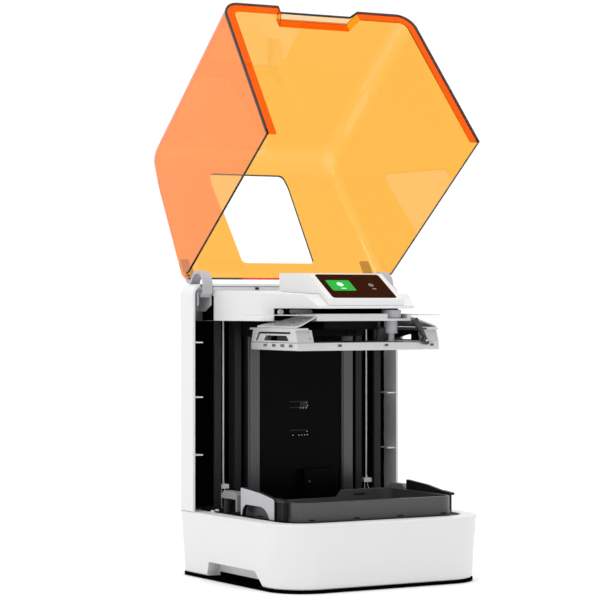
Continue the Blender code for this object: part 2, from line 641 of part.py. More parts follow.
def make_hinge_arms():
    """Goosenecks: from the pin, up out of the tower, over its edge and onto the hood's roof."""
    arch = arc(ARCH_Y, ARCH_Z, ARCH_RADIUS, 182, 12, 12)
    hook = [(PIVOT_Y - 4, PIVOT_Z - 3.0), (233.5, 364.5), (228.2, 368.5)] + arch
    line = [closed_place(y, z) for y, z in hook]
    for u in (6.0, 14.0, 40.0):
        line.append((HOOD_BACK_Y - u, HOOD_BOTTOM + HOOD_HEIGHT - HOOD_FALL * u + 2.6))
    for side, name in ((-1, "left"), (1, "right")):
        near, far = sorted((side * (ARM_X - ARM_WIDTH / 2), side * (ARM_X + ARM_WIDTH / 2)))
        arm = part("hinge_arm_" + name, prism(band(line, 4.0), "X", near, far), hood, "light_grey")
        near, far = near + 0.2, far - 0.2
        combine(arm, cylinder((near, PIVOT_Y, PIVOT_Z), (far, PIVOT_Y, PIVOT_Z), 5.8, 24), hood, "UNION")
        combine(arm, cylinder((near - 3, PIVOT_Y, PIVOT_Z), (far + 3, PIVOT_Y, PIVOT_Z), 2.8, 20), hood)


# ---------------------------------------------------------------- vat

def make_vat():
    outer = round_rect(117.5, 34, 191.6, 20.0, 6)
    inner = round_rect(113.5, 38, 187.6, 16.0, 6)
    ledge = round_rect(109.2, 49.4, 176.1, 5.0, 6)
    loops = [lift(ledge, 83.2), lift(outer, 83.2), lift(outer, 108.6)]
    loops += [lift(inner, 108.6), lift(inner, 88.5), lift(ledge, 87.0)]
    tub = loft(loops + [loops[0]], caps=False)
    bmesh.ops.remove_doubles(tub, verts=tub.verts, dist=1e-4)
    face_out(tub)
    tub = part("vat_tub", tub, chassis, "vat_grey", smooth=True)
    low_back = [(-98, 115), (-92, 99), (32.8, 99), (40.8, 109), (40.8, 115)]
    combine(tub, prism(low_back, "Y", 186, 194), chassis)
    round_edges(tub, 0.5)
    film = round_rect(108.9, 49.7, 175.8, 5.0, 6)
    part("vat_film", loft([lift(film, 84.3), lift(film, 84.8)]), chassis, "clear")
    wing = [(72, 84.5), (72, 111.2), (76, 112.5), (110, 117.5), (158, 121), (158, 84.5), (154.5, 84.5),
            (152, 94), (145, 99.5), (106, 99.5), (96, 97), (88.5, 91.5), (84.5, 84.5)]
    for side, name in ((-1, "left"), (1, "right")):
        near, far = sorted((side * 122.5, side * 127.5))
        plate = part("vat_wing_" + name, prism(wing, "X", near, far), chassis, "vat_grey")
        combine(plate, side_box(side, 117.8, 124, 74, 150, 101, 105), chassis, "UNION")
        latch = [(205, 104.4), (205, 108), (197, 114.5), (168, 114.5), (162, 110), (162, 89.0), (165.6, 89.0),
                 (165.6, 104.4)]
        near, far = sorted((side * (LATCH_X - 4.5), side * (LATCH_X + 4.5)))
        body = latches[name]
        part("vat_latch_" + name, prism(latch, "X", near, far), body, "light_grey")


# ---------------------------------------------------------------- platform

def make_lift():
    for side, name in ((-1, "left"), (1, "right")):
        carriage = side_box(side, RAIL_X - 9.5, RAIL_X + 9.5, 213, 226, 311, 331)
        carriage = part("carriage_" + name, carriage, platform, "black_metal")
        groove = side_box(side, RAIL_X - 7.6, RAIL_X + 7.6, RAIL_FRONT - GAP, 240, 290, 340)
        combine(carriage, groove, platform)
    yoke = part("lift_yoke", box((-86.3, 243, 320), (86.3, 259, 324)), platform, "black_metal")
    for side in (-1, 1):
        combine(yoke, side_box(side, 82.3, 86.3, 206, 259, 312, 330), platform, "UNION")
    combine(yoke, cylinder((0, SCREW_Y, 310), (0, SCREW_Y, 335), 8.3), platform)
    nut = part("drive_nut", cylinder((0, SCREW_Y, 319), (0, SCREW_Y, 334), 8.0), platform, "steel")
    combine(nut, cylinder((0, SCREW_Y, 324.3), (0, SCREW_Y, 328), 11.0), platform, "UNION")
    combine(nut, cylinder((0, SCREW_Y, 310), (0, SCREW_Y, 340), SCREW_RADIUS + GAP), platform)

    arm = part("z_arm", box((-82, 205, 311), (82, 212.7, 331)), platform, "black_metal")
    combine(arm, box((-40, 98, 321.5), (40, 126, BAR_LOW - GAP)), platform, "UNION")
    for side in (-1, 1):
        combine(arm, side_box(side, 22, 38, 110, 208, 321.5, 331), platform, "UNION")


def make_plate():
    plate = box((-PLATE_HALF_X, PLATE_FRONT, PLATE_BOTTOM), (PLATE_HALF_X, PLATE_BACK, PLATE_BOTTOM + PLATE_THICK))
    plate = part("build_plate", plate, platform, "aluminium", 0.8)
    for side in (-1, 1):
        for y in (71, 92, 113.5, 135.5):
            combine(plate, side_box(side, 100, 110, y - 5, y + 5, 300, 303.5), platform)
    for x in (-44.2, 24.7, 93.6):
        combine(plate, box((x - 3, 45, 300.5), (x + 3, 60, 303.5)), platform)
    for side, name in ((-1, "left"), (1, "right")):
        make_truss(side, name)
    make_cross_bar()


def make_truss(side, name):
    """The side frame on the plate: a wall with a window and a bent slot, slanted ends and a flange."""
    bottom, top = PLATE_BOTTOM + PLATE_THICK + GAP, 321.4
    near, far = sorted((side * 101, side * PLATE_HALF_X))
    wall = [(54, bottom), (171.5, bottom), (167, top), (60, top)]
    truss = part("truss_" + name, prism(wall, "X", near, far), platform, "aluminium")
    window = [(76, 307.8), (140, 307.8), (134, 314.2), (82, 314.2)]
    slot = [(72, 316.4), (149, 316.4), (155.5, 307.6), (160.5, 307.6), (152.5, 318.8), (72, 318.8)]
    for hole in (window, slot):
        combine(truss, prism(hole, "X", near - 5, far + 5), platform)
    near, far = sorted((side * 81, side * 101.5))
    for end in ([(54.5, bottom), (62, bottom), (67, top), (60.5, top)],
                [(163, bottom), (170.5, bottom), (166, top), (158.5, top)]):
        combine(truss, prism(end, "X", near, far), platform, "UNION")
    combine(truss, side_box(side, 88, PLATE_HALF_X, 56, 176, top - 0.4, 323.7), platform, "UNION")
    if side == 1:
        pin = cylinder((LEVER_X, 57, LEVER_Z), (LEVER_X, 46.5, LEVER_Z), 1.6, 16)
        combine(truss, pin, platform, "UNION")
    sheet = [(73, 53), (106, 53), (128, 146), (103, 146), (98, 131), (73, 131)]
    sheet = [(side * x, y) for x, y in sheet]
    part("drip_sheet_" + name, prism(sheet, "Z", 339.5, 340.5), platform, "aluminium")


def make_cross_bar():
    """The bridge over the plate, with a sloping plate at each end and a shelf for the knob."""
    bar = part("cross_bar", box((-BAR_HALF, 66, BAR_LOW), (BAR_HALF, 118, BAR_HIGH)), platform, "aluminium")
    for side in (-1, 1):
        corners = [(104, 58), (104, 158), (91, 150), (88, 131), (BAR_HALF - 1, 117), (BAR_HALF - 1, 68), (98, 57)]
        rise = (338.9 - 326.0) / (104 - BAR_HALF)
        upper = [(side * x, y, 326.0 + (104 - x) * rise) for x, y in corners]
        lower = [(x, y, z - 2.0) for x, y, z in upper]
        combine(bar, loft([lower, upper]), platform, "UNION")
    combine(bar, box((KNOB_X - 15, 50, BAR_LOW + 3), (KNOB_X + 15, KNOB_Y + 15, 360)), platform)
    combine(bar, box((-30, 76, BAR_LOW + 3), (24, 110, 360)), platform)
    combine(bar, cylinder((KNOB_X, KNOB_Y, 325), (KNOB_X, KNOB_Y, 340), 8.2), platform)


def make_clamps():
    knob = cylinder((KNOB_X, KNOB_Y, BAR_LOW + 3.3), (KNOB_X, KNOB_Y, 346.5), 12.5, 32)
    knob = part("clamp_knob", knob, clamp_knob, "light_grey", smooth=True)
    combine(knob, cylinder((KNOB_X, KNOB_Y, 316), (KNOB_X, KNOB_Y, 338), 7.9, 24), clamp_knob, "UNION")
    combine(knob, cylinder((KNOB_X, KNOB_Y, 306.2), (KNOB_X, KNOB_Y, 316.1), 4.0, 24), clamp_knob, "UNION")
    outline = arc(LEVER_X, LEVER_Z, 5.5, -38, -232, 8) + [(LEVER_X - 21, 333), (LEVER_X - 14, 336.8)]
    lever = prism(outline, "Y", LEVER_Y - 3, LEVER_Y + 2.5)
    lever = part("clamp_lever", lever, clamp_lever, "dark_plastic")
    combine(lever, cylinder((LEVER_X, 40, LEVER_Z), (LEVER_X, 60, LEVER_Z), 1.9, 16), clamp_lever)


clear_scene()
scene_parts = make_collection("resin_printer")
cutters = make_collection("cutters")
materials = {name: make_material(name) for name in MATERIALS}

chassis = Body(empty_name="chassis_origin")
chassis.empty.location.y = -Y_MIDDLE * MM
hood = Body((0, PIVOT_Y, PIVOT_Z), chassis, -HOOD_OPEN_DEG, "hood_axis")
platform = Body((0, PLATE_Y, PLATE_BOTTOM), chassis, empty_name="platform_slide")
screw = Body((0, SCREW_Y, 100), chassis, empty_name="screw_axis")
rotor = Body((0, FAN_Y, FAN_Z), chassis)
switch = Body((SWITCH_X, SWITCH_Y, SWITCH_Z), chassis)
clamp_knob = Body((KNOB_X, KNOB_Y, 335), platform)
clamp_lever = Body((LEVER_X, LEVER_Y, LEVER_Z), platform)
latches = {
    "left": Body((-LATCH_X, LATCH_Y, 104), chassis),
    "right": Body((LATCH_X, LATCH_Y, 104), chassis),
}

make_base()
make_deck()
make_rear_sockets()
make_tower()
make_column()
make_drive()
make_hinge_brackets()
make_head()
make_hood()
make_hinge_arms()
make_vat()
make_lift()
make_plate()
make_clamps()
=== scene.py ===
"""Looks of the resin printer: materials, fine pieces, floor, light and camera.

Places are millimetres in the printer's own layout: X from its middle, Y back from the front of the base
and Z up from the table. They are turned into the frame's metres by to_frame().
"""
import json
import math

import bmesh
import bpy
from mathutils import Matrix, Vector


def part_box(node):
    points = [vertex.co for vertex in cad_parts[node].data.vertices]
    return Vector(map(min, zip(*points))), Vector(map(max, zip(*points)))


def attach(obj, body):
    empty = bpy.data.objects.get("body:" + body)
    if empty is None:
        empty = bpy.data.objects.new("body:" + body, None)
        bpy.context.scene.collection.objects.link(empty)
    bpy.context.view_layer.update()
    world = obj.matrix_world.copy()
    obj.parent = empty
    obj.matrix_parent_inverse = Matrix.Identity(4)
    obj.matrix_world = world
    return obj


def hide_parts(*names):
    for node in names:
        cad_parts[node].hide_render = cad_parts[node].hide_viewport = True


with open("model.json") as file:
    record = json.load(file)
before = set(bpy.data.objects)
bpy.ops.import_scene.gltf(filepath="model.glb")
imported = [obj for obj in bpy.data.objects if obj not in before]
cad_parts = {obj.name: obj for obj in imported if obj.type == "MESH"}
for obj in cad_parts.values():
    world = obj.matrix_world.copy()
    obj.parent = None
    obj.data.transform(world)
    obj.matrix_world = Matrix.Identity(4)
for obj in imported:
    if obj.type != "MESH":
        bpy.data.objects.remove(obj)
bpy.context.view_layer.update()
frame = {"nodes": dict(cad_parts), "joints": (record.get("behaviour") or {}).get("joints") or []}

MM = 0.001
BASE_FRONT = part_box("base_shell")[0].y - 0.2 * MM
NODES = frame["nodes"]
HINGE = next(joint for joint in frame["joints"] if joint["name"] == "lid_hinge")
SIDES = ((-1, "left"), (1, "right"))


def to_frame(point):
    return Vector((point[0] * MM, point[1] * MM + BASE_FRONT, point[2] * MM))


def to_layout(point):
    return Vector((point.x / MM, (point.y - BASE_FRONT) / MM, point.z / MM))


def node_box(name):
    """Lowest and highest corner of a CAD node, in the printer's millimetres."""
    return [to_layout(corner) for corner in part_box(name)]


# ---------------------------------------------------------------- shapes

def box(low, high):
    bm = bmesh.new()
    bmesh.ops.create_cube(bm, size=1.0)
    low, high = Vector(low), Vector(high)
    bmesh.ops.scale(bm, vec=high - low, verts=bm.verts)
    bmesh.ops.translate(bm, vec=(low + high) / 2, verts=bm.verts)
    return bm


def cylinder(start, end, radius, sides=32, end_radius=None):
    bm = bmesh.new()
    start, end = Vector(start), Vector(end)
    tip = radius if end_radius is None else end_radius
    bmesh.ops.create_cone(bm, cap_ends=True, segments=sides, radius1=radius, radius2=tip,
                          depth=(end - start).length)
    turn = Vector((0, 0, 1)).rotation_difference(end - start).to_matrix().to_4x4()
    bmesh.ops.transform(bm, matrix=Matrix.Translation((start + end) / 2) @ turn, verts=bm.verts)
    return bm


def merge(*shapes):
    """Several closed shapes in one mesh."""
    whole = shapes[0]
    for extra in shapes[1:]:
        mesh = bpy.data.meshes.new("extra")
        extra.to_mesh(mesh)
        extra.free()
        whole.from_mesh(mesh)
        bpy.data.meshes.remove(mesh)
    return whole


def face_out(bm):
    bmesh.ops.recalc_face_normals(bm, faces=bm.faces)
    if bm.calc_volume(signed=True) < 0:
        bmesh.ops.reverse_faces(bm, faces=bm.faces)


def slab(outline, axis, low, high):
    """A flat outline given thickness along an axis; X takes (y, z), Y takes (x, z) and Z takes (x, y)."""
    bm = bmesh.new()
    rings = []
    for along in (low, high):
        ring = []
        for across, up in outline:
            place = {"X": (along, across, up), "Y": (across, along, up), "Z": (across, up, along)}[axis]
            ring.append(bm.verts.new(place))
        rings.append(ring)
        bm.faces.new(ring)
    count = len(outline)
    for i in range(count):
        j = (i + 1) % count
        bm.faces.new((rings[0][i], rings[0][j], rings[1][j], rings[1][i]))
    face_out(bm)
    return bm


def side_box(side, xs, ys, zs):
    """A box on the left (-1) or right (1), from its stretches along the axes; X counts outwards."""
    x0, x1 = sorted((side * xs[0], side * xs[1]))
    return box((x0, ys[0], zs[0]), (x1, ys[1], zs[1]))


def side_slab(side, outline, xs):
    """A flat (y, z) outline given thickness on the left (-1) or right (1); X counts outwards."""
    return slab(outline, "X", *sorted((side * xs[0], side * xs[1])))


def skin(loops, closed=True, caps=True):
    """A surface through equal rows of points."""
    bm = bmesh.new()
    rows = [[bm.verts.new(point) for point in loop] for loop in loops]
    count = len(loops[0])
    for lower, upper in zip(rows, rows[1:]):
        for i in range(count if closed else count - 1):
            j = (i + 1) % count
            bm.faces.new((lower[i], lower[j], upper[j], upper[i]))
    if caps:
        bm.faces.new(rows[0])
        bm.faces.new(rows[-1])
        face_out(bm)
    return bm


def arc(cx, cy, radius, start, end, steps):
    points = []
    for i in range(steps + 1):
        angle = math.radians(start + (end - start) * i / steps)
        points.append((cx + radius * math.cos(angle), cy + radius * math.sin(angle)))
    return points


def circle(cx, cy, radius, steps=28):
    return arc(cx, cy, radius, 0, 360, steps)[:-1]


def round_rect(half_x, half_y, radius, steps=8, centre=(0.0, 0.0)):
    cx, cy = centre
    points = []
    for sx, sy, start in ((1, 1, 0), (-1, 1, 90), (-1, -1, 180), (1, -1, 270)):
        corner = (cx + sx * (half_x - radius), cy + sy * (half_y - radius))
        points += arc(*corner, radius, start, start + 90, steps)
    return points


def rounded_corners(points, radius, steps=6):
    """The outline with each corner replaced by an arc-like curve."""
    result = []
    count = len(points)
    for i in range(count):
        before, corner, after = (Vector(points[(i + k) % count]) for k in (-1, 0, 1))
        reach = min(radius, (before - corner).length / 2.1, (after - corner).length / 2.1)
        start = corner + (before - corner).normalized() * reach
        end = corner + (after - corner).normalized() * reach
        for k in range(steps + 1):
            t = k / steps
            result.append(tuple((1 - t) ** 2 * start + 2 * t * (1 - t) * corner + t ** 2 * end))
    return result


def ring_wall(outer, inner, low, high):
    """A closed wall between two equal outlines seen from above."""
    profile = ((outer, low), (outer, high), (inner, high), (inner, low))
    loops = [[(x, y, z) for x, y in path] for path, z in profile]
    bm = skin(loops + [loops[0]], caps=False)
    bmesh.ops.remove_doubles(bm, verts=bm.verts, dist=1e-4)
    face_out(bm)
    return bm


def smooth_curve(points, steps):
    """A smooth line through a few points."""
    ends = [Vector(points[0])] + [Vector(p) for p in points] + [Vector(points[-1])]
    line = []
    for a, b, c, d in zip(ends, ends[1:], ends[2:], ends[3:]):
        for i in range(steps):
            t = i / steps
            line.append(0.5 * ((2 * b) + (c - a) * t + (2 * a - 5 * b + 4 * c - d) * t ** 2
                               + (3 * b - a - 3 * c + d) * t ** 3))
    return line + [Vector(points[-1])]


def screw_head(at, normal, radius, height):
    """A low domed head with a hexagon socket, standing on a point along a normal."""
    at, normal = Vector(at), Vector(normal).normalized()
    steps = [(1.0, 0.0), (1.0, 0.55), (0.86, 0.9), (0.6, 1.0), (0.5, 1.0)]
    rings = []
    for share, rise in steps:
        rings.append([(share * radius * math.cos(a), share * radius * math.sin(a), rise * height)
                      for a in (math.tau * i / 24 for i in range(24))])
    for share, rise in ((0.45, 1.0), (0.45, 0.35)):
        rings.append([(share * radius * math.cos(a), share * radius * math.sin(a), rise * height)
                      for a in (math.tau * (i // 4) / 6 for i in range(24))])
    bm = skin(rings)
    bmesh.ops.remove_doubles(bm, verts=bm.verts, dist=1e-5)
    turn = Vector((0, 0, 1)).rotation_difference(normal).to_matrix().to_4x4()
    bmesh.ops.transform(bm, matrix=Matrix.Translation(at) @ turn, verts=bm.verts)
    return bm


def screw_heads(places, normal, radius, height):
    """Equal screw heads at several places, in one mesh."""
    return merge(*[screw_head(place, normal, radius, height) for place in places])


# ---------------------------------------------------------------- pieces

def add_to_scene(obj):
    bpy.context.scene.collection.objects.link(obj)
    return obj


def dress(obj, material, bevel=0.0, segments=3, angle=35.0, weld=False):
    """Give an object its material, rounded edges and smooth shading up to an angle."""
    obj.data.materials.clear()
    obj.data.materials.append(material)
    for polygon in obj.data.polygons:
        polygon.use_smooth = True
    if weld:
        joined = obj.modifiers.new("weld", "WELD")
        joined.merge_threshold = 0.00001
    if bevel:
        rounded = obj.modifiers.new("round", "BEVEL")
        rounded.width = bevel * MM
        rounded.segments = segments
        rounded.limit_method = "ANGLE"
        rounded.angle_limit = math.radians(angle)
        rounded.use_clamp_overlap = True
    split = obj.modifiers.new("split", "EDGE_SPLIT")
    split.split_angle = math.radians(angle)
    split.use_edge_sharp = False
    flat = obj.modifiers.new("flat_faces", "WEIGHTED_NORMAL")
    flat.mode = "FACE_AREA"
    flat.weight = 80


def mesh_object(name, bm):
    """An object from a shape in the printer's millimetres."""
    for vert in bm.verts:
        vert.co = to_frame(vert.co)
    mesh = bpy.data.meshes.new(name)
    bm.to_mesh(mesh)
    bm.free()
    return add_to_scene(bpy.data.objects.new(name, mesh))


def piece(name, bm, body, material, bevel=0.0, segments=3, turn=None, angle=35.0):
    """A dressed piece from a shape in the printer's millimetres, riding on a body."""
    if turn is not None:
        bmesh.ops.transform(bm, matrix=turn, verts=bm.verts)
    obj = mesh_object(name, bm)
    dress(obj, material, bevel, segments, angle)
    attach(obj, body)
    return obj


def wire(name, points, radius, body, material, steps=6):
    """A thin round lead through a few points."""
    curve = bpy.data.curves.new(name, "CURVE")
    curve.dimensions = "3D"
    curve.bevel_depth = radius * MM
    curve.bevel_resolution = 3
    curve.use_fill_caps = True
    line = smooth_curve(points, steps)
    spline = curve.splines.new("POLY")
    spline.points.add(len(line) - 1)
    for point, place in zip(spline.points, line):
        point.co = (*to_frame(place), 1.0)
    obj = add_to_scene(bpy.data.objects.new(name, curve))
    curve.materials.append(material)
    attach(obj, body)


def cut(obj, cutter):
    """Cuts an object at once with a shape in the printer's millimetres."""
    tool = mesh_object("cutter", cutter)
    modifier = obj.modifiers.new("cut", "BOOLEAN")
    modifier.operation = "DIFFERENCE"
    modifier.object = tool
    modifier.solver = "EXACT"
    graph = bpy.context.evaluated_depsgraph_get()
    mesh = bpy.data.meshes.new_from_object(obj.evaluated_get(graph))
    obj.modifiers.clear()
    obj.data = mesh
    bpy.data.objects.remove(tool)


def let_light_through(obj):
    """Clear plastic casts no tinted shadow on the parts under it."""
    obj.visible_shadow = False
    obj.visible_diffuse = False


# ---------------------------------------------------------------- materials

def new_material(name):
    """A material, its node tree and its shader."""
    material = bpy.data.materials.new(name)
    material.use_nodes = True
    return material, material.node_tree, material.node_tree.nodes["Principled BSDF"]


def object_space(tree, stretch=(1.0, 1.0, 1.0)):
    """Where a point lies on its object, with each axis scaled."""
    place = tree.nodes.new("ShaderNodeTexCoord")
    scale = tree.nodes.new("ShaderNodeMapping")
    scale.inputs["Scale"].default_value = stretch
    tree.links.new(place.outputs["Object"], scale.inputs["Vector"])
    return scale.outputs["Vector"]


def noise(tree, place, size, detail):
    """A noise between 0 and 1 with grains of a size in mm."""
    texture = tree.nodes.new("ShaderNodeTexNoise")
    texture.inputs["Scale"].default_value = 1.0 / (size * MM)
    texture.inputs["Detail"].default_value = detail
    tree.links.new(place, texture.inputs["Vector"])
    return texture.outputs["Fac"]


def remap(tree, value, start, end, low, high, interpolation="LINEAR"):
    """The value with its stretch from start to end turned into low to high."""
    node = tree.nodes.new("ShaderNodeMapRange")
    node.interpolation_type = interpolation
    node.inputs["From Min"].default_value = start
    node.inputs["From Max"].default_value = end
    node.inputs["To Min"].default_value = low
    node.inputs["To Max"].default_value = high
    tree.links.new(value, node.inputs["Value"])
    return node.outputs["Result"]


def add_relief(tree, height, depth):
    """Dents in the surface, to a depth in mm."""
    relief = tree.nodes.new("ShaderNodeBump")
    relief.inputs["Distance"].default_value = depth * MM
    tree.links.new(height, relief.inputs["Height"])
    tree.links.new(relief.outputs["Normal"], tree.nodes["Principled BSDF"].inputs["Normal"])


def surface(name, color, second, roughness, spread=0.06, metallic=0.0, grain=0.5, bump=0.01, patch=40.0,
            stretch=(1.0, 1.0, 1.0), shine=0.5):
    """A material whose colour drifts in patches and whose grain changes roughness and height, in mm."""
    material, tree, shader = new_material(name)
    shader.inputs["Metallic"].default_value = metallic
    shader.inputs["Specular IOR Level"].default_value = shine
    place = object_space(tree, stretch)
    patches = noise(tree, place, patch, 3.0)
    grains = noise(tree, place, grain, 4.0)
    blend = tree.nodes.new("ShaderNodeMix")
    blend.data_type = "RGBA"
    blend.inputs["A"].default_value = (*color, 1.0)
    blend.inputs["B"].default_value = (*second, 1.0)
    tree.links.new(patches, blend.inputs["Factor"])
    tree.links.new(blend.outputs["Result"], shader.inputs["Base Color"])
    rough = remap(tree, grains, 0.25, 0.75, max(roughness - spread, 0.01), roughness + spread)
    tree.links.new(rough, shader.inputs["Roughness"])
    if bump:
        add_relief(tree, grains, bump)
    return material


def add_threads(material, pitch, depth):
    """Fine grooves round a screw."""
    tree = material.node_tree
    bands = tree.nodes.new("ShaderNodeTexWave")
    bands.bands_direction = "Z"
    bands.inputs["Scale"].default_value = math.tau / (pitch * MM) / 20.0
    tree.links.new(object_space(tree), bands.inputs["Vector"])
    add_relief(tree, bands.outputs["Fac"], depth)


def tinted_plastic(name, tint, reach, roughness=0.015, ior=1.49):
    """Clear plastic that takes its colour in depth: tint is what is left after reach millimetres."""
    material, tree, shader = new_material(name)
    shader.inputs["Base Color"].default_value = (1.0, 1.0, 1.0, 1.0)
    shader.inputs["Transmission Weight"].default_value = 1.0
    shader.inputs["IOR"].default_value = ior
    smudges = noise(tree, object_space(tree), 60.0, 5.0)
    polish = remap(tree, smudges, 0.4, 0.8, roughness, roughness * 3)
    tree.links.new(polish, shader.inputs["Roughness"])
    losses = [-math.log(max(share, 0.002)) / (reach * MM) for share in tint]
    density = max(losses) * 1.02
    depth = tree.nodes.new("ShaderNodeVolumeAbsorption")
    depth.inputs["Color"].default_value = (*[1.0 - loss / density for loss in losses], 1.0)
    depth.inputs["Density"].default_value = density
    tree.links.new(depth.outputs["Volume"], tree.nodes["Material Output"].inputs["Volume"])
    return material


def lit(name, color, second, strength):
    """A picture element of the display: it glows a little."""
    material = surface(name, color, second, 0.3, 0.03, patch=4.0, bump=0.0, shine=0.03)
    shader = material.node_tree.nodes["Principled BSDF"]
    shader.inputs["Emission Color"].default_value = (*color, 1.0)
    shader.inputs["Emission Strength"].default_value = strength
    return material


WHITE = surface("white_body", (0.81, 0.81, 0.812), (0.785, 0.785, 0.79), 0.42, 0.07, grain=0.35,
                bump=0.012)
WHITE_TRIM = surface("white_trim", (0.8, 0.8, 0.81), (0.76, 0.76, 0.78), 0.35, 0.06, grain=0.3, bump=0.01)
BLACK = surface("black_moulding", (0.011, 0.011, 0.012), (0.017, 0.017, 0.018), 0.5, 0.1, grain=0.25,
                bump=0.02, shine=0.22)
PIANO = surface("piano_black", (0.0015, 0.0015, 0.0015), (0.003, 0.003, 0.0031), 0.25, 0.05, grain=3.0,
                bump=0.004, patch=60.0, shine=0.04)
# Near-black with no shine that paints shade: dark sheets and bands put where shadow falls in gaps and under
# parts.
PAINTED_SHADE = surface("painted_shade_black", (0.001, 0.001, 0.001), (0.0018, 0.0018, 0.0018), 0.9, 0.05, grain=0.4,
               bump=0.05, shine=0.0)
DARK_METAL = surface("dark_metal", (0.04, 0.04, 0.042), (0.055, 0.055, 0.058), 0.42, 0.08, 0.4, grain=0.4,
                     stretch=(1, 1, 0.05))
RAIL = surface("rail_steel", (0.115, 0.115, 0.118), (0.09, 0.09, 0.093), 0.33, 0.06, 0.85, grain=0.4,
               bump=0.006, stretch=(1, 1, 0.03))
BLASTED = surface("blasted_aluminium", (0.68, 0.68, 0.69), (0.6, 0.6, 0.61), 0.36, 0.07, 0.75, grain=0.3,
                  bump=0.012)
SHEET_METAL = surface("sheet_metal", (0.72, 0.72, 0.73), (0.62, 0.62, 0.63), 0.3, 0.08, 0.85, grain=0.5,
                      bump=0.006, stretch=(0.08, 1, 1))
BRIDGE = surface("bridge_metal", (0.7, 0.7, 0.71), (0.64, 0.64, 0.65), 0.4, 0.07, 0.15, grain=0.3,
                 bump=0.012)
BLACK_METAL = surface("black_metal", (0.006, 0.006, 0.0062), (0.009, 0.009, 0.0092), 0.55, 0.08, 0.3,
                      grain=0.3, bump=0.01, shine=0.1)
THREADED = surface("threaded_steel", (0.6, 0.6, 0.62), (0.5, 0.5, 0.52), 0.25, 0.07, 1.0, grain=0.4,
                   bump=0.0)
STEEL = surface("ground_steel", (0.6, 0.6, 0.62), (0.5, 0.5, 0.52), 0.25, 0.07, 1.0, grain=0.4,
                bump=0.005)
# Black with grey speckles that paint the lever's speckled highlights, over a rough relief.
LEVER = surface("lever_painted_speckle", (0.0, 0.0, 0.0), (0.1, 0.1, 0.104), 0.28, 0.12, 0.4, grain=1.5, bump=0.3,
                patch=2.2)
GREY = surface("grey_moulding", (0.5, 0.5, 0.53), (0.44, 0.44, 0.47), 0.42, 0.07, grain=0.3, bump=0.012)
VAT = surface("vat_coating", (0.09, 0.09, 0.093), (0.072, 0.072, 0.074), 0.36, 0.07, 0.25, grain=0.35,
              bump=0.012)
LATCH_GREY = surface("latch_grey", (0.24, 0.24, 0.25), (0.2, 0.2, 0.21), 0.45, 0.07, grain=0.3,
                     bump=0.012)
RUBBER = surface("foot_rubber", (0.02, 0.02, 0.02), (0.035, 0.035, 0.035), 0.8, 0.08, grain=0.6,
                 bump=0.03)
BOARD = surface("circuit_board", (0.01, 0.12, 0.04), (0.02, 0.18, 0.06), 0.4, 0.08, grain=1.2, bump=0.02,
                patch=6.0)
BRASS = surface("brass_contacts", (0.65, 0.45, 0.16), (0.55, 0.36, 0.12), 0.3, 0.06, 1.0, grain=0.4)
SCREEN = surface("display_glass", (0.016, 0.0012, 0.0016), (0.022, 0.0018, 0.0024), 0.25, 0.03, grain=8.0,
                 bump=0.0, shine=0.03)
TILE = lit("display_tile", (0.01, 0.33, 0.035), (0.02, 0.33, 0.05), 0.36)
GLYPH = lit("display_glyph", (0.55, 0.85, 0.6), (0.5, 0.8, 0.55), 0.5)
FAINT = lit("display_faint", (0.3, 0.28, 0.28), (0.25, 0.23, 0.23), 0.25)
AMBER = tinted_plastic("amber_hood", (0.985, 0.545, 0.112), 3.15)
# Deeper amber for the flange: partly its own plastic, partly painted light caught inside the flange.
RIM_AMBER = tinted_plastic("amber_rim_painted_light", (0.97, 0.4, 0.004), 2.4, 0.01, 1.15)
# A paler amber that paints the highlight on the front wall's strip above the notch.
PAINTED_HIGHLIGHT_AMBER = tinted_plastic("painted_highlight_edge", (0.99, 0.72, 0.42), 3.0)
# Near-black for the painted shade along the hood's edge.
EDGE = surface("painted_edge_shade", (0.008, 0.002, 0.001), (0.012, 0.003, 0.002), 0.6, 0.05, grain=0.5, bump=0.0,
               shine=0.02)
FILM = tinted_plastic("release_film", (0.93, 0.95, 0.97), 0.5, 0.05)
LENS = tinted_plastic("lens_plastic", (0.93, 0.95, 0.97), 2.0, 0.05)


# ---------------------------------------------------------------- carried-over nodes

